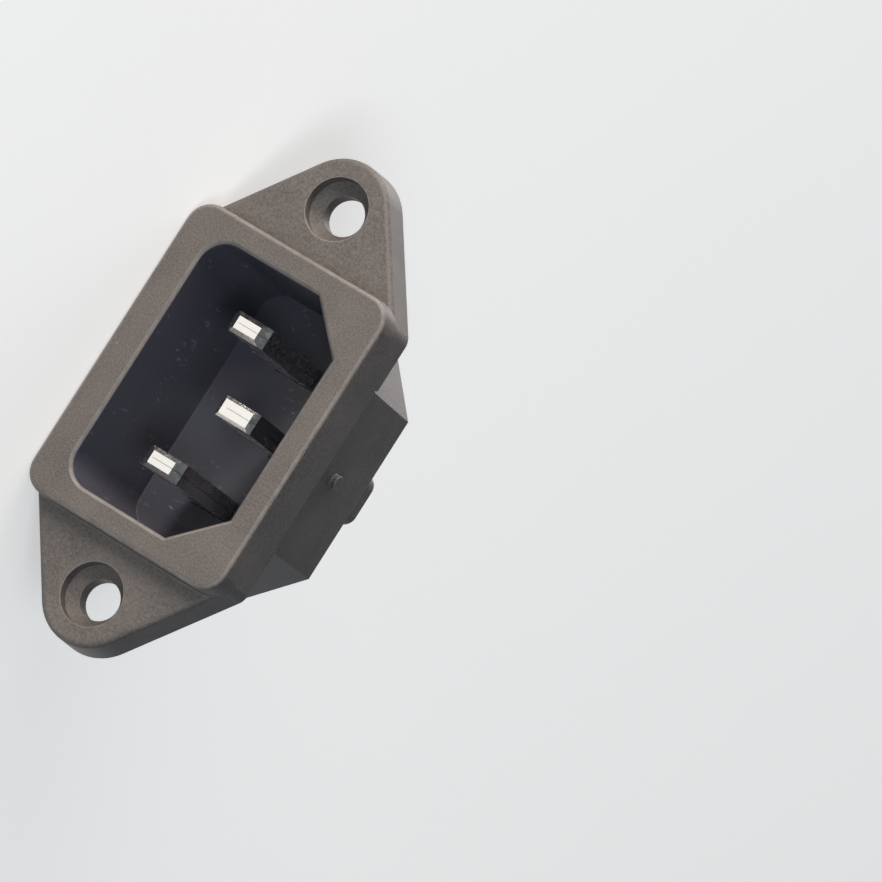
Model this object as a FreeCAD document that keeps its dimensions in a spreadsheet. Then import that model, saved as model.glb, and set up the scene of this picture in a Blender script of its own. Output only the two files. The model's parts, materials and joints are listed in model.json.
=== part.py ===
"""C14 panel inlet socket: a screw-mounted mains inlet with three folded blades.

The frame: X runs from screw hole to screw hole, +Y to the rear, +Z to the earth side.
The origin lies midway between the screw holes, in the plane that seats on the panel.
"""
import FreeCAD, Part
import os
from math import atan2, cos, pi, radians, sin, tan
import Sketcher

SIZES = {
    # flange, the diamond plate with a screw hole in each tip
    "flange_height": 22.1,
    "flange_straight": 26.8,
    "flange_thickness": 3.7,
    "tip_radius": 4.9,
    "flange_corner": 1.6,
    "outer_draft": 2.0,
    "front_edge": 0.5,
    # screw holes
    "hole_spacing": 40.0,
    "hole_diameter": 3.8,
    "counterbore_diameter": 5.9,
    "counterbore_depth": 1.3,
    "cone_depth": 0.9,
    # bezel, the raised frame round the mouth of the socket
    "bezel_length": 30.0,
    "bezel_rise": 2.3,
    "bezel_corner": 2.4,
    # socket cavity
    "cavity_width": 25.0,
    "cavity_top": 8.35,
    "cavity_bottom": 7.65,
    "cavity_bevel_across": 4.25,
    "cavity_bevel_up": 4.4,
    "cavity_corner": 2.6,
    "cavity_depth": 16.0,
    "cavity_draft": 0.7,
    "mouth_edge": 0.3,
    # rear body, the box behind the panel
    "side_wall": 0.65,
    "top_wall": 0.98,
    "bottom_wall": 1.15,
    "body_bevel_across": 4.85,
    "body_bevel_up": 4.6,
    "body_corner": 3.0,
    "body_depth": 13.35,
    "body_draft": 0.5,
    # coring of the flange's back, with its ribs and round recesses
    "core_depth": 2.4,
    "rim_wall": 1.1,
    "slant_wall": 1.4,
    "rib_line": 4.55,
    "rib_thickness": 1.65,
    "core_reach": 17.2,
    "hole_wall": 1.7,
    "recess_line": 18.65,
    "recess_diameter": 2.4,
    "recess_depth": 1.6,
    "relief": 0.4,
    # gate pip on top of the body
    "pip_diameter": 1.3,
    "pip_height": 0.6,
    "pip_setback": 6.1,
    # terminal blocks on the back of the body
    "block_width": 5.1,
    "block_rise": 2.2,
    "block_corner": 1.2,
    "side_block_top": 2.35,
    "side_block_bottom": 8.1,
    "earth_block_top": 9.05,
    "earth_block_bottom": 0.4,
    # contacts, each folded from one strip of sheet
    "sheet_thickness": 1.0,
    "fold_radius": 0.45,
    "seam": 0.04,
    "blade_width": 4.0,
    "blade_spacing": 14.0,
    "blade_line": -0.95,
    "earth_rise": 4.0,
    "side_tip_slope": 0.8,
    "side_tip_bevel": 0.4,
    "side_recess": 1.85,
    "earth_tip_slope": 0.5,
    "earth_tip_bevel": 0.28,
    "earth_recess": 0.75,
    "blade_seat": 2.0,
    "joggle": 0.35,
    "joggle_run": 0.8,
    "side_tab_rise": -0.25,
    "earth_tab_rise": 0.95,
    "shoulder_width": 6.0,
    "shoulder_length": 2.8,
    "tab_width": 4.25,
    "tab_length": 7.7,
    "tab_slope": 1.2,
    "tab_foot_bevel": 0.25,
    "tab_edge": 0.12,
    "eye_centre": 5.4,
    "eye_width": 1.8,
    "eye_height": 3.0,
    "eye_corner": 0.85,
    # how closely the contacts fit, and how far a fused form reaches into its neighbour
    "fit_gap": 0.02,
    "overlap": 0.8,
}

doc = FreeCAD.newDocument("c14_panel_inlet_socket")
sheet = doc.addObject("Spreadsheet::Sheet", "Sizes")
for row, (alias, value) in enumerate(SIZES.items(), 1):
    sheet.set(f"A{row}", alias)
    sheet.set(f"B{row}", str(value))
    sheet.setAlias(f"B{row}", alias)
doc.recompute()


def bound(formula):
    """The formula with each size's name written as a reference to its cell."""
    words = []
    for word in formula.split():
        words.append(f"Sizes.{word}" if word in SIZES else word)
    return " ".join(words)


def value_of(formula):
    """The number that a formula gives now."""
    result = sheet.evalExpression(bound(formula))
    return float(getattr(result, "Value", result))


def new_body(name):
    body = doc.addObject("PartDesign::Body", name)
    body.Label = name
    return body


def origin_plane(body, role):
    return next(item for item in body.Origin.OriginFeatures if item.Role == role)


def new_sketch(body, name, role, offset="0"):
    """A sketch on one of the body's own planes, moved along the plane's normal."""
    sketch = body.newObject("Sketcher::SketchObject", name)
    sketch.AttachmentSupport = [(origin_plane(body, role), "")]
    sketch.MapMode = "FlatFace"
    sketch.setExpression("AttachmentOffset.Base.z", bound(offset))
    return sketch


def pin(sketch, curve, end, across, up):
    """Fixes a point of a sketch at two formulas measured from its origin."""
    for kind, formula in (("DistanceX", across), ("DistanceY", up)):
        index = sketch.addConstraint(Sketcher.Constraint(kind, -1, 1, curve, end, value_of(formula)))
        sketch.setExpression(f"Constraints[{index}]", bound(formula))


def corner_arc(before, vertex, after, radius):
    """The arc that rounds a corner, and whether it starts on the side before the corner."""
    back = (before - vertex).normalize()
    ahead = (after - vertex).normalize()
    half = back.getAngle(ahead) / 2
    centre = vertex + (back + ahead).normalize() * (radius / sin(half))
    touches = [vertex + side * (radius / tan(half)) for side in (back, ahead)]
    forward = back.cross(ahead).z < 0
    first, last = touches if forward else touches[::-1]
    angles = [atan2(point.y - centre.y, point.x - centre.x) for point in (first, last)]
    ring = Part.Circle(centre, FreeCAD.Vector(0, 0, 1), radius)
    return Part.ArcOfCircle(ring, *angles), touches, forward


def outline(sketch, corners):
    """A closed polygon of formulas for each corner: across, up and, where it is round, a radius.

    The true corners are pinned as construction lines, which the drawn sides lie on.
    """
    count = len(corners)
    points = [FreeCAD.Vector(value_of(corner[0]), value_of(corner[1]), 0) for corner in corners]
    guides = []
    for index, start in enumerate(points):
        guides.append(sketch.addGeometry(Part.LineSegment(start, points[(index + 1) % count]), True))
    for index, corner in enumerate(corners):
        after = guides[(index + 1) % count]
        sketch.addConstraint(Sketcher.Constraint("Coincident", guides[index], 2, after, 1))
        pin(sketch, guides[index], 1, corner[0], corner[1])
    arcs = {}
    for index, corner in enumerate(corners):
        if len(corner) == 3:
            nearby = points[index - 1], points[index], points[(index + 1) % count]
            arcs[index] = corner_arc(*nearby, value_of(corner[2]))
    sides = []
    for index in range(count):
        after = (index + 1) % count
        start = arcs[index][1][1] if index in arcs else points[index]
        end = arcs[after][1][0] if after in arcs else points[after]
        side = sketch.addGeometry(Part.LineSegment(start, end), False)
        for tip in (1, 2):
            sketch.addConstraint(Sketcher.Constraint("PointOnObject", side, tip, guides[index]))
        sides.append(side)
    for index, corner in enumerate(corners):
        if index not in arcs:
            sketch.addConstraint(Sketcher.Constraint("Coincident", sides[index - 1], 2, sides[index], 1))
            continue
        shape, _, forward = arcs[index]
        arc = sketch.addGeometry(shape, False)
        ends = (1, 2) if forward else (2, 1)
        sketch.addConstraint(Sketcher.Constraint("Tangent", sides[index - 1], 2, arc, ends[0]))
        sketch.addConstraint(Sketcher.Constraint("Tangent", sides[index], 1, arc, ends[1]))
        number = sketch.addConstraint(Sketcher.Constraint("Radius", arc, value_of(corner[2])))
        sketch.setExpression(f"Constraints[{number}]", bound(corner[2]))


def circle(sketch, across, up, diameter):
    """A circle whose centre and diameter are formulas."""
    centre = FreeCAD.Vector(value_of(across), value_of(up), 0)
    shape = Part.Circle(centre, FreeCAD.Vector(0, 0, 1), value_of(diameter) / 2)
    curve = sketch.addGeometry(shape, False)
    pin(sketch, curve, 3, across, up)
    index = sketch.addConstraint(Sketcher.Constraint("Diameter", curve, value_of(diameter)))
    sketch.setExpression(f"Constraints[{index}]", bound(diameter))


def pad(body, name, sketch, length, taper="0", backwards=False):
    feature = body.newObject("PartDesign::Pad", name)
    feature.Profile = sketch
    feature.setExpression("Length", bound(length))
    feature.setExpression("TaperAngle", bound(taper))
    feature.Reversed = backwards
    doc.recompute()
    return feature


def pocket(body, name, sketch, length, taper="0", backwards=False, centred=False):
    """A pocket, checked to have taken material away."""
    before = body.Shape.Volume
    feature = body.newObject("PartDesign::Pocket", name)
    feature.Profile = sketch
    feature.setExpression("Length", bound(length))
    feature.setExpression("TaperAngle", bound(taper))
    feature.Reversed = backwards
    if centred:
        feature.SideType = "Symmetric"
    doc.recompute()
    if body.Shape.Volume >= before:
        raise RuntimeError(f"{name} cuts nothing")
    return feature


def dress(body, kind, name, wanted, size):
    """A fillet or chamfer on every edge of the body that the test picks."""
    tip = body.Tip
    picked = [f"Edge{n}" for n, edge in enumerate(tip.Shape.Edges, 1) if wanted(edge)]
    if not picked:
        raise RuntimeError(f"{name} finds no edge")
    feature = body.newObject(f"PartDesign::{kind}", name)
    feature.Base = (tip, picked)
    feature.setExpression("Radius" if kind == "Fillet" else "Size", bound(size))
    doc.recompute()
    return feature


def lies_at(edge, axis, place, slack=0.01):
    """True where the whole edge lies in the plane axis = place."""
    box = edge.BoundBox
    low, high = getattr(box, axis + "Min"), getattr(box, axis + "Max")
    return abs(low - place) < slack and abs(high - place) < slack


def runs_along(edge, axis):
    """True where the edge is long in one direction and nearly nothing in the others."""
    box = edge.BoundBox
    spans = {name: getattr(box, name + "Length") for name in "XYZ"}
    long_span = spans.pop(axis)
    return long_span > 0.5 and max(spans.values()) < 0.2 * long_span


# ---------------------------------------------------------------- formulas
HALF_SPACING = "hole_spacing / 2"
HALF_HEIGHT = "flange_height / 2"
FRONT = "( flange_thickness + bezel_rise )"
BODY_SIDE = "( cavity_width / 2 + side_wall )"
BODY_TOP = "( cavity_top + top_wall )"
BODY_BOTTOM = "( cavity_bottom + bottom_wall )"
BODY_FLAT = f"( {BODY_SIDE} - body_bevel_across )"
BLOCK_FACE = "( body_depth + block_rise )"
FLOOR = f"( cavity_depth - {FRONT} )"
BLADE_BASE = f"( {FLOOR} + blade_seat )"
TAB_END = f"( {BLOCK_FACE} + tab_length )"
EARTH_LINE = "( blade_line + earth_rise )"

# each contact: its middle along X, the height of its blade and of its tab, how far its
# tip lies behind the front face, and the slope and side bevel of its tip
SIDE_HEIGHTS = ("blade_line", "( blade_line + side_tab_rise )")
SIDE_TIP = ("side_recess", "side_tip_slope", "side_tip_bevel")
EARTH_HEIGHTS = (EARTH_LINE, f"( {EARTH_LINE} + earth_tab_rise )")
EARTH_TIP = ("earth_recess", "earth_tip_slope", "earth_tip_bevel")
CONTACTS = {
    "line_contact": ("-1 * blade_spacing / 2", *SIDE_HEIGHTS, *SIDE_TIP),
    "neutral_contact": ("blade_spacing / 2", *SIDE_HEIGHTS, *SIDE_TIP),
    "earth_contact": ("0", *EARTH_HEIGHTS, *EARTH_TIP),
}


def mirrored(sign, formula):
    return formula if sign > 0 else f"-1 * ( {formula} )"


def flange_slope():
    """The angle of the flange's slanted edge and where its cored inside starts.

    The edge leaves the end of the straight edge and meets the tip's arc as a tangent.
    """
    run = "( hole_spacing / 2 - flange_straight / 2 )"
    rise = f"( {HALF_HEIGHT} )"
    reach = f"sqrt( {run} ^ 2 + {rise} ^ 2 )"
    return f"( acos( tip_radius / {reach} ) - atan( {run} / {rise} ) )"


SLOPE = flange_slope()


def cored_edge(across):
    """The height of the slanted wall's inner side at a place along X."""
    start = "( flange_straight / 2 )"
    drop = f"( ( {across} ) - {start} ) * tan( {SLOPE} )"
    return f"{HALF_HEIGHT} - {drop} - slant_wall / cos( {SLOPE} )"


def cored_start():
    """Where along X the slanted wall's inner side meets the straight rim's inner side."""
    start = "( flange_straight / 2 )"
    return f"{start} + ( rim_wall - slant_wall / cos( {SLOPE} ) ) / tan( {SLOPE} )"


# ---------------------------------------------------------------- housing
def flange_plate(body):
    """The diamond plate: two straight edges and four that run tangent to the tips."""
    sketch = new_sketch(body, "FlangeOutline", "XZ_Plane")
    straight = value_of("flange_straight / 2")
    height = value_of(HALF_HEIGHT)
    centre = value_of(HALF_SPACING)
    radius = value_of("tip_radius")
    slope = radians(value_of(SLOPE))
    across = centre + radius * sin(slope)
    up = radius * cos(slope)
    lines = {}
    for side in (1, -1):
        for level in (1, -1):
            start = FreeCAD.Vector(side * straight, level * height, 0)
            end = FreeCAD.Vector(side * across, level * up, 0)
            lines[side, level] = sketch.addGeometry(Part.LineSegment(start, end), False)
            pin(
                sketch,
                lines[side, level],
                1,
                mirrored(side, "flange_straight / 2"),
                mirrored(level, HALF_HEIGHT),
            )
    for level in (1, -1):
        ends = [FreeCAD.Vector(side * straight, level * height, 0) for side in (-1, 1)]
        edge = sketch.addGeometry(Part.LineSegment(*ends), False)
        sketch.addConstraint(Sketcher.Constraint("Coincident", edge, 1, lines[-1, level], 1))
        sketch.addConstraint(Sketcher.Constraint("Coincident", edge, 2, lines[1, level], 1))
    for side in (1, -1):
        middle = 0 if side > 0 else pi
        first = middle - (pi / 2 - slope)
        last = middle + (pi / 2 - slope)
        ring = Part.Circle(FreeCAD.Vector(side * centre, 0, 0), FreeCAD.Vector(0, 0, 1), radius)
        arc = sketch.addGeometry(Part.ArcOfCircle(ring, first, last), False)
        index = sketch.addConstraint(Sketcher.Constraint("DistanceX", -1, 1, arc, 3, side * centre))
        sketch.setExpression(f"Constraints[{index}]", bound(mirrored(side, HALF_SPACING)))
        sketch.addConstraint(Sketcher.Constraint("PointOnObject", arc, 3, -1))
        index = sketch.addConstraint(Sketcher.Constraint("Radius", arc, radius))
        sketch.setExpression(f"Constraints[{index}]", bound("tip_radius"))
        sketch.addConstraint(Sketcher.Constraint("Tangent", lines[side, side * -1], 2, arc, 1))
        sketch.addConstraint(Sketcher.Constraint("Tangent", lines[side, side], 2, arc, 2))
    return pad(body, "FlangePlate", sketch, "flange_thickness", "-1 * outer_draft")


def bezel(body):
    """The raised frame, flush with the plate's straight edges and with the same draft."""
    sunk = "( flange_thickness - overlap )"
    side = "bezel_length / 2"
    top = f"( {HALF_HEIGHT} - {sunk} * tan( outer_draft ) )"
    sketch = new_sketch(body, "BezelOutline", "XZ_Plane", sunk)
    signs = ((1, 1), (-1, 1), (-1, -1), (1, -1))
    corners = [(mirrored(right, side), mirrored(up, top), "bezel_corner") for right, up in signs]
    outline(sketch, corners)
    pad(body, "Bezel", sketch, "bezel_rise + overlap", "-1 * outer_draft")
    front = -value_of(FRONT)
    dress(body, "Fillet", "BezelFrontEdge", lambda edge: lies_at(edge, "Y", front), "front_edge")


def rear_coring(body):
    """Pockets that thin the flange from behind and leave its rim, two ribs a side and a hole boss."""
    sketch = new_sketch(body, "CoringOutline", "XZ_Plane")
    start = BODY_FLAT
    rim = f"( {HALF_HEIGHT} - rim_wall )"
    rib_out = "( rib_line + rib_thickness / 2 )"
    rib_in = "( rib_line - rib_thickness / 2 )"
    shoulder = "( rib_thickness * 0.5 )"
    for side in (1, -1):
        for level in (1, -1):
            corners = [
                (start, rim),
                (cored_start(), rim),
                ("core_reach", cored_edge("core_reach")),
                ("core_reach", rib_out),
                (start, rib_out),
            ]
            outline(sketch, [(mirrored(side, x), mirrored(level, z)) for x, z in corners])
        corners = [
            (start, rib_in),
            (f"core_reach - {shoulder}", rib_in),
            ("core_reach", f"{rib_in} - {shoulder}"),
            ("core_reach", f"-1 * ( {rib_in} - {shoulder} )"),
            (f"core_reach - {shoulder}", f"-1 * {rib_in}"),
            (start, f"-1 * {rib_in}"),
        ]
        outline(sketch, [(mirrored(side, x), z) for x, z in corners])
    pocket(body, "RearCoring", sketch, "core_depth", backwards=True)
    bosses = new_sketch(body, "BossCircles", "XZ_Plane")
    for side in (1, -1):
        circle(bosses, mirrored(side, HALF_SPACING), "0", "hole_diameter + 2 * hole_wall")
    pad(body, "HoleBosses", bosses, "( core_depth + flange_thickness ) / 2")
    recesses = new_sketch(body, "RecessCircles", "XZ_Plane")
    for side in (1, -1):
        for level in (1, -1):
            circle(recesses, mirrored(side, "recess_line"), mirrored(level, "rib_line"), "recess_diameter")
    pocket(body, "RoundRecesses", recesses, "recess_depth", backwards=True)


def edge_relief(body):
    """A bevel on the flange's upper rear edge, over the flat top of the rear body."""
    sketch = new_sketch(body, "ReliefOutline", "YZ_Plane")
    clear = f"{HALF_HEIGHT} + overlap"
    corners = [
        ("overlap", f"{HALF_HEIGHT} - relief - overlap"),
        ("overlap", clear),
        ("-1 * ( relief + overlap )", clear),
    ]
    outline(sketch, corners)
    pocket(body, "EdgeRelief", sketch, f"2 * {BODY_FLAT}", centred=True)


def trapezoid(side, top, bottom, bevel_across, bevel_up, corner):
    """The socket's outline: two bevelled corners above and two round ones below."""
    shoulder = f"( {side} - {bevel_across} )"
    step = f"( {top} - {bevel_up} )"
    return [
        (shoulder, top),
        (f"-1 * {shoulder}", top),
        (f"-1 * {side}", step),
        (f"-1 * {side}", f"-1 * {bottom}", corner),
        (side, f"-1 * {bottom}", corner),
        (side, step),
    ]


def rear_body(body):
    """The box behind the panel, drawn at its rear face and widening towards the flange."""
    sketch = new_sketch(body, "BodyOutline", "XZ_Plane", "-1 * body_depth")
    shape = (BODY_SIDE, BODY_TOP, BODY_BOTTOM, "body_bevel_across", "body_bevel_up", "body_corner")
    outline(sketch, trapezoid(*shape))
    pad(body, "RearBody", sketch, "body_depth + ( core_depth + flange_thickness ) / 2", "body_draft")


def socket_cavity(body):
    sketch = new_sketch(body, "CavityOutline", "XZ_Plane", FRONT)
    side = "( cavity_width / 2 )"
    shape = (side, "cavity_top", "cavity_bottom", "cavity_bevel_across", "cavity_bevel_up", "cavity_corner")
    outline(sketch, trapezoid(*shape))
    pocket(body, "SocketCavity", sketch, "cavity_depth", "-1 * cavity_draft")
    front = -value_of(FRONT)
    reach = value_of("cavity_width / 2") + 0.01

    def at_mouth(edge):
        box = edge.BoundBox
        return lies_at(edge, "Y", front) and max(-box.XMin, box.XMax) < reach

    dress(body, "Chamfer", "MouthEdge", at_mouth, "mouth_edge")


def block_spans():
    """The middle of each terminal block along X, with its lower and upper end."""
    pole = ("-1 * side_block_bottom", "side_block_top")
    return [
        ("-1 * blade_spacing / 2", *pole),
        ("blade_spacing / 2", *pole),
        ("0", "earth_block_bottom", "earth_block_top"),
    ]


def terminal_blocks(body):
    """Three raised pads on the rear face, one round the root of each contact."""
    sketch = new_sketch(body, "BlockOutlines", "XZ_Plane", "-1 * ( body_depth - overlap )")
    for middle, low, high in block_spans():
        left = f"{middle} - block_width / 2"
        right = f"{middle} + block_width / 2"
        corners = [(left, low), (right, low), (right, high, "block_corner"), (left, high, "block_corner")]
        outline(sketch, corners)
    pad(body, "TerminalBlocks", sketch, "block_rise + overlap", backwards=True)


def rectangle(sketch, left, right, low, high):
    outline(sketch, [(left, low), (right, low), (right, high), (left, high)])


def contact_slots(body):
    """The stepped slots that hold the contacts: blade, joggle and tab."""
    blades = new_sketch(body, "BladeSlotOutlines", "XZ_Plane", f"-1 * ( {FLOOR} - overlap )")
    joggles = new_sketch(body, "JoggleSlotOutlines", "XZ_Plane", f"-1 * {BLADE_BASE}")
    tabs = new_sketch(body, "TabSlotOutlines", "XZ_Plane", f"-1 * {BLADE_BASE}")
    for middle, blade_up, tab_up, *_ in CONTACTS.values():
        half = "( shoulder_width / 2 + fit_gap )"
        low, high = f"{tab_up} - {half}", f"{tab_up} + {half}"
        left = f"{middle} - joggle - fit_gap"
        rectangle(
            blades,
            f"{middle} - sheet_thickness - fit_gap",
            f"{middle} + sheet_thickness + fit_gap",
            f"{blade_up} - blade_width / 2 - fit_gap",
            f"{blade_up} + blade_width / 2 + fit_gap",
        )
        rectangle(joggles, left, f"{middle} + sheet_thickness + fit_gap", low, high)
        rectangle(tabs, left, f"{middle} - joggle + sheet_thickness + fit_gap", low, high)
    pocket(body, "BladeSlots", blades, "blade_seat + overlap")
    pocket(body, "JoggleSlots", joggles, "joggle_run")
    pocket(body, "TabSlots", tabs, f"{BLOCK_FACE} - {BLADE_BASE} + overlap")


def screw_holes(body):
    """A stepped hole through each tip: counterbore, cone and bore, from the front."""
    sketch = new_sketch(body, "ScrewHoleProfile", "XY_Plane")
    bore = f"{HALF_SPACING} + hole_diameter / 2"
    head = f"{HALF_SPACING} + counterbore_diameter / 2"
    front = "-1 * flange_thickness - overlap"
    corners = [
        (HALF_SPACING, front),
        (HALF_SPACING, "overlap"),
        (bore, "overlap"),
        (bore, "-1 * flange_thickness + counterbore_depth + cone_depth"),
        (head, "-1 * flange_thickness + counterbore_depth"),
        (head, front),
    ]
    outline(sketch, corners)
    before = body.Shape.Volume
    groove = body.newObject("PartDesign::Groove", "ScrewHole")
    groove.Profile = sketch
    groove.ReferenceAxis = (sketch, ["Axis0"])
    groove.Angle = 360
    doc.recompute()
    mirror = body.newObject("PartDesign::Mirrored", "ScrewHoles")
    mirror.Originals = [groove]
    mirror.MirrorPlane = (origin_plane(body, "YZ_Plane"), [""])
    body.Tip = mirror
    doc.recompute()
    bores = 2 * pi * value_of("hole_diameter / 2") ** 2 * value_of("flange_thickness")
    if before - body.Shape.Volume < bores:
        raise RuntimeError("the screw holes cut too little")


def gate_pip(body):
    sketch = new_sketch(body, "PipCircle", "XY_Plane", f"{BODY_TOP} - top_wall / 2")
    circle(sketch, "0", "pip_setback", "pip_diameter")
    pad(body, "GatePip", sketch, "top_wall / 2 + pip_height")


def make_housing():
    """The one-piece moulded housing."""
    body = new_body("housing")
    flange_plate(body)
    corner = value_of("flange_straight / 2")

    def at_corner(edge):
        box = edge.BoundBox
        nearest = min(abs(box.XMin), abs(box.XMax))
        return runs_along(edge, "Y") and abs(nearest - corner) < 0.5

    dress(body, "Fillet", "FlangeCorners", at_corner, "flange_corner")
    front = -value_of("flange_thickness")
    dress(body, "Fillet", "FlangeFrontEdge", lambda edge: lies_at(edge, "Y", front), "front_edge")
    bezel(body)
    rear_coring(body)
    edge_relief(body)
    rear_body(body)
    socket_cavity(body)
    terminal_blocks(body)
    contact_slots(body)
    screw_holes(body)
    gate_pip(body)
    return body


# ---------------------------------------------------------------- contacts
def corner_cut(sketch, across, up, size, ahead, above):
    """A triangle that takes a 45 degree bevel of that size off the corner at (across, up).

    ahead and above are 1 or -1: the sides of the material on which the corner lies.
    """
    out = f"{across} {'+' if ahead > 0 else '-'} overlap"
    back = f"{across} {'-' if ahead > 0 else '+'} ( {size} + overlap )"
    over = f"{up} {'+' if above > 0 else '-'} overlap"
    down = f"{up} {'-' if above > 0 else '+'} ( {size} + overlap )"
    corners = [(out, over), (back, over), (out, down)]
    outline(sketch, corners if ahead * above > 0 else corners[::-1])


def contact_blade(body, middle, up, recess, slope, bevel):
    """The double layer: a bar with a closed fold below, an open seam above and a sloped tip."""
    tip = f"( {FRONT} - {recess} )"
    low = f"{up} - blade_width / 2"
    high = f"{up} + blade_width / 2"
    left = f"{middle} - sheet_thickness"
    right = f"{middle} + sheet_thickness"
    section = new_sketch(body, "BladeSection", "XZ_Plane", f"-1 * {BLADE_BASE}")
    outline(section, [(left, low, "fold_radius"), (right, low, "fold_radius"), (right, high), (left, high)])
    pad(body, "Blade", section, f"{BLADE_BASE} + {tip}")
    slopes = new_sketch(body, "TipSlopeOutlines", "YZ_Plane", middle)
    corner_cut(slopes, f"-1 * {tip}", high, slope, -1, 1)
    corner_cut(slopes, f"-1 * {tip}", low, slope, -1, -1)
    pocket(body, "TipSlopes", slopes, "4 * sheet_thickness", centred=True)
    bevels = new_sketch(body, "TipBevelOutlines", "XY_Plane", up)
    corner_cut(bevels, right, f"-1 * {tip}", bevel, 1, -1)
    corner_cut(bevels, left, f"-1 * {tip}", bevel, -1, -1)
    pocket(body, "TipBevels", bevels, "blade_width + 2 * overlap", centred=True)
    gap = new_sketch(body, "SeamOutline", "XZ_Plane", f"-1 * {BLADE_BASE}")
    inside = f"{low} + sheet_thickness"
    rectangle(gap, f"{middle} - seam / 2", f"{middle} + seam / 2", inside, f"{high} + overlap")
    pocket(body, "Seam", gap, f"{BLADE_BASE} + {tip} + overlap", backwards=True)


def contact_tab(body, middle, up):
    """The single layer: joggled inside the housing, with wide shoulders behind it and an eyed tab."""
    path = new_sketch(body, "TabPath", "XY_Plane", f"{up} - shoulder_width / 2")
    bend = f"{BLADE_BASE} + joggle_run"
    inner = f"{middle} - joggle"
    outer = f"{middle} - joggle + sheet_thickness"
    corners = [(middle, BLADE_BASE), (f"{middle} + sheet_thickness", BLADE_BASE), (outer, bend)]
    corners += [(outer, TAB_END), (inner, TAB_END), (inner, bend)]
    outline(path, corners)
    pad(body, "Tab", path, "shoulder_width")
    cuts = new_sketch(body, "TabOutlines", "YZ_Plane", middle)
    start = f"{BLOCK_FACE} + shoulder_length"
    clear = f"{TAB_END} + overlap"
    top = f"{up} + tab_width / 2"
    foot = f"{up} - tab_width / 2"
    rectangle(cuts, start, clear, top, f"{up} + shoulder_width / 2 + overlap")
    rectangle(cuts, start, clear, f"{up} - shoulder_width / 2 - overlap", foot)
    near = f"{BLOCK_FACE} + eye_centre - eye_width / 2"
    far = f"{BLOCK_FACE} + eye_centre + eye_width / 2"
    under = f"{up} - eye_height / 2"
    over = f"{up} + eye_height / 2"
    eye = [(near, under), (far, under), (far, over), (near, over)]
    outline(cuts, [(across, height, "eye_corner") for across, height in eye])
    pocket(body, "ShouldersAndEye", cuts, "4 * sheet_thickness", centred=True)
    ends = new_sketch(body, "TabCornerOutlines", "YZ_Plane", middle)
    corner_cut(ends, TAB_END, top, "tab_slope", 1, 1)
    corner_cut(ends, TAB_END, foot, "tab_foot_bevel", 1, -1)
    pocket(body, "TabCorners", ends, "4 * sheet_thickness", centred=True)
    end = value_of(TAB_END)

    def at_tab_end(edge):
        return lies_at(edge, "Y", end) and runs_along(edge, "Z")

    dress(body, "Chamfer", "TabEdges", at_tab_end, "tab_edge")


def make_contact(name, middle, blade_up, tab_up, recess, slope, bevel):
    """One strip of sheet: folded double as a blade, its one layer running on as a tab."""
    body = new_body(name)
    contact_blade(body, middle, blade_up, recess, slope, bevel)
    contact_tab(body, middle, tab_up)
    return body


# ---------------------------------------------------------------- the part
bodies = [make_housing()]
for name, places in CONTACTS.items():
    bodies.append(make_contact(name, *places))
doc.recompute()

for item in doc.Objects:
    if "Invalid" in item.State or "Error" in item.State:
        raise RuntimeError(f"{item.Label} is {item.State}")
for body in bodies:
    if body.Shape.isNull() or not body.Shape.isValid() or len(body.Shape.Solids) != 1:
        raise RuntimeError(f"{body.Label} is not one valid solid")

os.makedirs("parts", exist_ok=True)
for body in bodies:
    body.Shape.exportStep(f"parts/{body.Label}.step")
    print(body.Label, round(body.Shape.Volume, 2), body.Shape.BoundBox)
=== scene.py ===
"""Looks of the C14 panel inlet socket: moulded plastic, plated contacts, light and camera.

Metres, in the model's own frame: X from screw hole to screw hole, +Y to the rear, +Z to
the earth side. The mouth of the socket faces -Y.
"""

import json
from math import cos, radians, sin

import bpy
from mathutils import Matrix, Vector


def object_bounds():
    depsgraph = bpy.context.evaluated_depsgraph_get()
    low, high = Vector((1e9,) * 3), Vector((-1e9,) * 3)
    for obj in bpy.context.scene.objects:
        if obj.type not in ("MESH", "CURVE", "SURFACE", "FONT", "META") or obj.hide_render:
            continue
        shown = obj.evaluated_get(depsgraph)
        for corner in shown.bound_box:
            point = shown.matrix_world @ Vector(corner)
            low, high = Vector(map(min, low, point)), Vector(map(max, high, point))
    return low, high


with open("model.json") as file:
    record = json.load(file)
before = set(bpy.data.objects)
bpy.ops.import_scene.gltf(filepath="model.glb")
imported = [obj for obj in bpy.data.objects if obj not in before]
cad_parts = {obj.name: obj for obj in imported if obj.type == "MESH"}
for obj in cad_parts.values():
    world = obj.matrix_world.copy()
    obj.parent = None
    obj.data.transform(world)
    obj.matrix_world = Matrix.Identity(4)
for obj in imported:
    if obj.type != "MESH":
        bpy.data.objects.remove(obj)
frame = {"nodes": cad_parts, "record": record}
cad_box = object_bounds()
MM = 0.001

# The camera: its line of sight, its roll about that line, and how far off it stands.
SIGHT_AZIMUTH = 3.85
SIGHT_ELEVATION = 22.94
ROLL = 120.87
DISTANCE = 0.6205
LENS = 287.7
SENSOR = 36.0
# the origin's place to the right of and below the picture's middle, at the object's distance
ORIGIN_RIGHT = -0.01873
ORIGIN_DOWN = -0.00252

FLOOR_SIZE = 3.0
FLOOR_WHITE = (0.80, 0.80, 0.79, 1)
FLOOR_GREY = (0.76, 0.76, 0.76, 1)
# how brightly the floor glows where the camera looks at it, and where metal mirrors it
FLOOR_GLOW = 0.55
MIRRORED_GLOW = 0.72
# the world's light at the horizon and overhead, where its height is OVERHEAD_HEIGHT or more
WORLD_COLOUR = (0.76, 0.87, 1.0, 1)
WORLD_LEVEL = 0.40
OVERHEAD_LEVEL = 0.09
OVERHEAD_HEIGHT = 0.8
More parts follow.
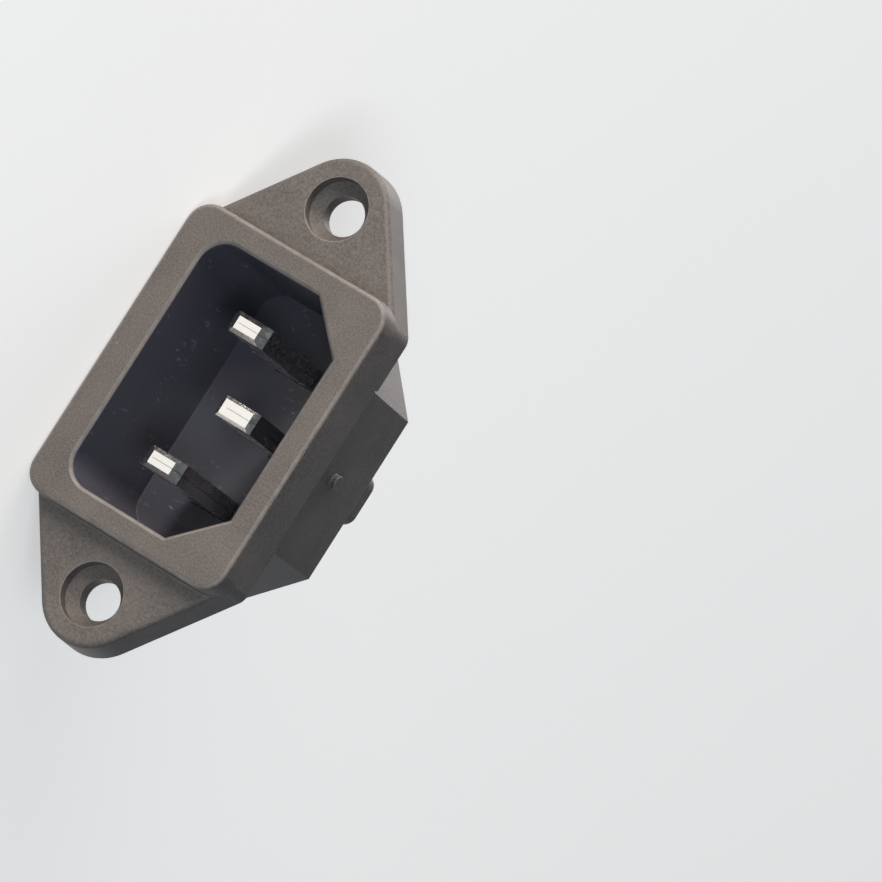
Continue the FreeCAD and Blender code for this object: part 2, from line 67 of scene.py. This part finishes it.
# lamps: direction from the object, distance, sides, power and colour
LAMPS = {
    "key": ((-0.80, -0.60, 0.10), 0.8, (0.9, 0.16), 9.5, (1.0, 0.88, 0.78)),
    "fill": ((0.20, -0.78, 0.56), 1.0, (0.3, 0.3), 3.2, (0.90, 0.95, 1.0)),
    "rear": ((-0.85, 0.55, 0.12), 1.0, (0.8, 0.2), 5.0, (0.95, 0.97, 1.0)),
}
# boxes, as lowest and highest corner: round the walls and the floor of the socket, round the
# front of the bezel, and round the contacts behind their tips
CAVITY_BOX = ((-0.0130, -0.0057, -0.0092), (0.0130, 0.0103, 0.0092))
BEZEL_FRONT_BOX = ((-0.03, -0.01, -0.03), (0.03, -0.005, 0.03))
BEHIND_TIPS_BOX = ((-0.01, -0.0035, -0.01), (0.01, 0.03, 0.01))


# ---------------------------------------------------------------- node helpers
class Tree:
    """A material's nodes, added and joined with few words."""

    def __init__(self, name):
        self.material = bpy.data.materials.new(name)
        self.material.use_nodes = True
        self.nodes = self.material.node_tree.nodes
        self.links = self.material.node_tree.links
        self.nodes.clear()
        self.place = self.add("ShaderNodeTexCoord").outputs["Object"]

    def add(self, kind, **settings):
        node = self.nodes.new(kind)
        for key, value in settings.items():
            setattr(node, key, value)
        return node

    def put(self, socket, value):
        """Joins the socket to another node's output, or sets it to a number or a colour."""
        if isinstance(value, bpy.types.NodeSocket):
            self.links.new(value, socket)
        else:
            socket.default_value = value

    def feed(self, node, **inputs):
        """Sets or joins inputs, whose names are written with _ for a space."""
        for key, value in inputs.items():
            self.put(node.inputs[key.replace("_", " ")], value)
        return node

    def parts(self, vector):
        """A vector's X, Y and Z."""
        node = self.add("ShaderNodeSeparateXYZ")
        self.links.new(vector, node.inputs[0])
        return node.outputs

    def noise(self, grain, detail=4.0, roughness=0.55, stretch=(1, 1, 1)):
        """Noise whose features are about one grain, in metres, across."""
        mapping = self.feed(self.add("ShaderNodeMapping"), Vector=self.place, Scale=stretch)
        node = self.add("ShaderNodeTexNoise")
        self.feed(node, Vector=mapping.outputs[0], Scale=1 / grain, Detail=detail, Roughness=roughness)
        return node.outputs["Fac"]

    def ramp(self, factor, low, high, start=0.0, end=1.0):
        """The factor's stretch from low to high, taken to start and end, and held beyond."""
        node = self.add("ShaderNodeMapRange")
        names = ("Value", "From Min", "From Max", "To Min", "To Max")
        for name, value in zip(names, (factor, low, high, start, end)):
            self.put(node.inputs[name], value)
        return node.outputs[0]

    def math(self, operation, *values):
        node = self.add("ShaderNodeMath", operation=operation)
        for socket, value in zip(node.inputs, values):
            self.put(socket, value)
        return node.outputs[0]

    def mix(self, factor, first, second):
        """A colour between two colours."""
        node = self.add("ShaderNodeMix", data_type="RGBA")
        self.put(node.inputs[0], factor)
        colours = [socket for socket in node.inputs if socket.type == "RGBA"]
        for socket, value in zip(colours, (first, second)):
            self.put(socket, value)
        return next(socket for socket in node.outputs if socket.type == "RGBA")

    def bump(self, height, depth, normal):
        """The normal, tilted by a height that rises by up to a depth."""
        node = self.feed(self.add("ShaderNodeBump"), Height=height, Distance=depth, Normal=normal)
        return node.outputs[0]

    def rounded(self, radius):
        """The normal of the surface with its sharp edges rounded."""
        return self.feed(self.add("ShaderNodeBevel", samples=8), Radius=radius).outputs[0]

    def within(self, box, soft):
        """1 inside a box of the object's own space, falling to 0 over a soft margin."""
        result = 1.0
        for place, least, most in zip(self.parts(self.place), *box):
            result = self.math("MULTIPLY", result, self.ramp(place, least - soft, least))
            result = self.math("MULTIPLY", result, self.ramp(place, most + soft, most))
        return result

    def true_normal(self):
        return self.add("ShaderNodeNewGeometry").outputs["Normal"]

    def in_cavity(self):
        """1 on the walls and the floor of the socket: they face its middle, or the front."""
        normal = self.parts(self.true_normal())
        place = self.parts(self.place)
        along_x = self.math("MULTIPLY", normal["X"], place["X"])
        along_z = self.math("MULTIPLY", normal["Z"], place["Z"])
        walls = self.ramp(self.math("ADD", along_x, along_z), -1 * MM, -2 * MM)
        facing = self.math("MAXIMUM", walls, self.ramp(normal["Y"], -0.8, -0.9))
        return self.math("MULTIPLY", facing, self.within(CAVITY_BOX, 0.1 * MM))

    def front_rims(self):
        """1 on the rounded edges round the front of the bezel and the mouth."""
        facing = self.math("ABSOLUTE", self.parts(self.true_normal())["Y"])
        slanted = self.math("MULTIPLY", self.ramp(facing, 0.35, 0.55), self.ramp(facing, 0.98, 0.90))
        return self.math("MULTIPLY", slanted, self.within(BEZEL_FRONT_BOX, 0.2 * MM))

    def flecks(self, spacing, size, share):
        """Small round spots, at a share of the places a spacing apart."""
        node = self.add("ShaderNodeTexVoronoi")
        self.feed(node, Vector=self.place, Scale=1 / spacing)
        chance = self.add("ShaderNodeSeparateColor")
        self.links.new(node.outputs["Color"], chance.inputs[0])
        chosen = self.ramp(chance.outputs[0], share, 0.9 * share)
        reach = size / spacing
        spot = self.ramp(node.outputs["Distance"], reach, 0.5 * reach)
        return self.math("MULTIPLY", chosen, spot)

    def edges(self, radius):
        """1 on sharp edges, falling to 0 a radius away."""
        dot = self.add("ShaderNodeVectorMath", operation="DOT_PRODUCT")
        self.put(dot.inputs[0], self.rounded(radius))
        self.put(dot.inputs[1], self.true_normal())
        return self.ramp(dot.outputs["Value"], 0.995, 0.80)

    def finish(self, **inputs):
        shader = self.feed(self.add("ShaderNodeBsdfPrincipled"), **inputs)
        output = self.add("ShaderNodeOutputMaterial")
        self.links.new(shader.outputs[0], output.inputs["Surface"])
        return self.material


# ---------------------------------------------------------------- materials
def housing_plastic():
    """Near-black thermoplastic: grained outside, with a painted highlight along its edges, less rough and
    near-black in the socket, with a cool blue tint there that is painted shade.
    """
    tree = Tree("housing_plastic")
    dark = (0.066, 0.057, 0.051, 1)
    pale = (0.096, 0.083, 0.073, 1)
    # pale tone of the grain specks, also used as the painted highlight on edges and front rims
    grain_and_highlight = (0.30, 0.28, 0.27, 1)
    # painted shade: the socket lining's colour is tinted cool blue, like the shade that falls in there
    painted_shade_lining = (0.064, 0.067, 0.088, 1)
    scraped = (0.28, 0.28, 0.31, 1)
    lint = (0.55, 0.53, 0.50, 1)
    # outside: clouded and grained, with a painted highlight along its sharp edges and round the front rims
    cloud = tree.noise(6 * MM, detail=3)
    speck = tree.noise(0.20 * MM, detail=2, roughness=0.7)
    colour = tree.mix(tree.ramp(cloud, 0.35, 0.65), dark, pale)
    colour = tree.mix(tree.ramp(speck, 0.35, 0.7, 0.0, 0.30), colour, grain_and_highlight)
    patchy = tree.ramp(tree.noise(1.5 * MM), 0.3, 0.6, 0.35, 1.0)
    # painted highlight: lighter colour on sharp edges, in patches
    painted_edge_highlight = tree.math("MULTIPLY", tree.edges(0.20 * MM), patchy)
    colour = tree.mix(tree.math("MULTIPLY", painted_edge_highlight, 0.9), colour, grain_and_highlight)
    # painted highlight: lighter colour on the rounded rims round the front of the bezel and the mouth, in
    # patches
    painted_rim_highlight = tree.math("MULTIPLY", tree.front_rims(), patchy)
    colour = tree.mix(tree.math("MULTIPLY", painted_rim_highlight, 0.45), colour, grain_and_highlight)
    # in the socket: less rough, with a few scuffs, and a cool blue tint that is painted shade
    inside = tree.in_cavity()
    streaks = tree.ramp(tree.noise(0.30 * MM, detail=6, stretch=(1, 0.3, 0.3)), 0.60, 0.70)
    places = tree.ramp(tree.noise(4 * MM, detail=1), 0.55, 0.62)
    scuffs = tree.math("MULTIPLY", streaks, places)
    lining = tree.mix(tree.math("MULTIPLY", scuffs, 0.9), painted_shade_lining, scraped)
    colour = tree.mix(inside, colour, lining)
    colour = tree.mix(tree.flecks(3 * MM, 0.16 * MM, 0.10), colour, lint)
    grained = tree.ramp(speck, 0.3, 0.7, 0.44, 0.62)
    roughness = tree.math("ADD", tree.math("MULTIPLY", inside, -0.12), grained)
    height = tree.math("MULTIPLY", speck, tree.ramp(inside, 0.0, 1.0, 1.0, 0.15))
    grain = tree.bump(height, 0.035 * MM, tree.rounded(0.12 * MM))
    normal = tree.bump(cloud, 0.05 * MM, grain)
    return tree.finish(Base_Color=colour, Roughness=roughness, Normal=normal, IOR=1.5)


def contact_metal():
    """Bright nickel plate over rolled brass, a little tarnished behind the tips."""
    tree = Tree("contact_metal")
    bright = (0.90, 0.87, 0.82, 1)
    dull = (0.50, 0.44, 0.37, 1)
    lines = tree.noise(0.4 * MM, detail=2, stretch=(1, 0.1, 1))
    patches = tree.ramp(tree.noise(1.8 * MM, detail=1), 0.50, 0.75)
    tarnish = tree.math("MULTIPLY", patches, tree.within(BEHIND_TIPS_BOX, 0.5 * MM))
    colour = tree.mix(tree.math("MULTIPLY", tarnish, 0.7), bright, dull)
    rolled = tree.ramp(lines, 0.3, 0.7, 0.16, 0.28)
    roughness = tree.math("ADD", rolled, tree.math("MULTIPLY", tarnish, 0.15))
    return tree.finish(Base_Color=colour, Metallic=1.0, Roughness=roughness)


def pale_floor():
    """A matte white table top, which glows a little for rays that look at it or mirror it."""
    tree = Tree("pale_floor")
    cloud = tree.ramp(tree.noise(40 * MM), 0.4, 0.6, 0.0, 0.15)
    tint = tree.mix(cloud, FLOOR_WHITE, FLOOR_GREY)
    path = tree.add("ShaderNodeLightPath").outputs
    mirrored = tree.math("MAXIMUM", path["Is Glossy Ray"], path["Is Transmission Ray"])
    looked_at = tree.math("MULTIPLY", path["Is Camera Ray"], FLOOR_GLOW)
    glow = tree.math("MAXIMUM", looked_at, tree.math("MULTIPLY", mirrored, MIRRORED_GLOW))
    return tree.finish(Base_Color=tint, Roughness=0.75, Emission_Color=FLOOR_WHITE, Emission_Strength=glow)


FINISHES = {"housing_plastic": housing_plastic(), "contact_metal": contact_metal()}


def dress_nodes():
    """Gives each node of the model the finish that its record names."""
    slots = {entry["node"]: entry["material_slot"] for entry in frame["record"]["subparts"]}
    for name, node in frame["nodes"].items():
        finish = FINISHES[slots[name]]
        if not node.material_slots:
            node.data.materials.append(finish)
        for material_slot in node.material_slots:
            material_slot.material = finish


# ---------------------------------------------------------------- floor, light, camera
def lay_floor():
    """A plane that the part stands on."""
    low, high = cad_box
    middle = (low + high) / 2
    bpy.ops.mesh.primitive_plane_add(size=FLOOR_SIZE, location=(middle.x, middle.y, low.z))
    floor = bpy.context.object
    floor.name = "floor"
    floor.data.materials.append(pale_floor())


def sight_axes():
    """The camera's right, up and back directions, rolled about its line of sight."""
    azimuth, elevation, roll = radians(SIGHT_AZIMUTH), radians(SIGHT_ELEVATION), radians(ROLL)
    back = Vector((sin(azimuth) * cos(elevation), -cos(azimuth) * cos(elevation), sin(elevation)))
    level = Vector((cos(azimuth), sin(azimuth), 0))
    upright = back.cross(level)
    right = level * cos(roll) + upright * sin(roll)
    up = upright * cos(roll) - level * sin(roll)
    return right, up, back


def set_camera():
    right, up, back = sight_axes()
    data = bpy.data.cameras.new("camera")
    data.lens = LENS
    data.sensor_width = SENSOR
    data.clip_start = 0.01
    data.clip_end = 10
    camera = bpy.data.objects.new("camera", data)
    bpy.context.collection.objects.link(camera)
    turn = Matrix((right, up, back)).transposed()
    place = back * DISTANCE - right * ORIGIN_RIGHT + up * ORIGIN_DOWN
    camera.matrix_world = Matrix.Translation(place) @ turn.to_4x4()
    bpy.context.scene.camera = camera


def area_light(name, direction, distance, sides, power, colour):
    """A rectangular lamp that faces the object from a direction."""
    data = bpy.data.lights.new(name, "AREA")
    data.shape = "RECTANGLE"
    data.size, data.size_y = sides
    data.energy = power
    data.color = colour
    lamp = bpy.data.objects.new(name, data)
    bpy.context.collection.objects.link(lamp)
    toward = Vector(direction).normalized()
    lamp.location = toward * distance
    lamp.rotation_mode = "QUATERNION"
    lamp.rotation_quaternion = toward.to_track_quat("Z", "Y")


def studio_world():
    """Soft light all round, weakest overhead."""
    world = bpy.data.worlds.new("studio")
    bpy.context.scene.world = world
    world.use_nodes = True
    nodes, links = world.node_tree.nodes, world.node_tree.links
    direction = nodes.new("ShaderNodeTexCoord").outputs["Generated"]
    parts = nodes.new("ShaderNodeSeparateXYZ")
    level = nodes.new("ShaderNodeMapRange")
    links.new(direction, parts.inputs[0])
    links.new(parts.outputs["Z"], level.inputs["Value"])
    level.inputs["From Min"].default_value = 0.0
    level.inputs["From Max"].default_value = OVERHEAD_HEIGHT
    level.inputs["To Min"].default_value = WORLD_LEVEL
    level.inputs["To Max"].default_value = OVERHEAD_LEVEL
    links.new(level.outputs[0], nodes["Background"].inputs["Strength"])
    nodes["Background"].inputs["Color"].default_value = WORLD_COLOUR


def light_scene():
    for name, lamp in LAMPS.items():
        area_light(name, *lamp)
    studio_world()


dress_nodes()
lay_floor()
light_scene()
set_camera()
bpy.context.scene.view_settings.view_transform = "Standard"
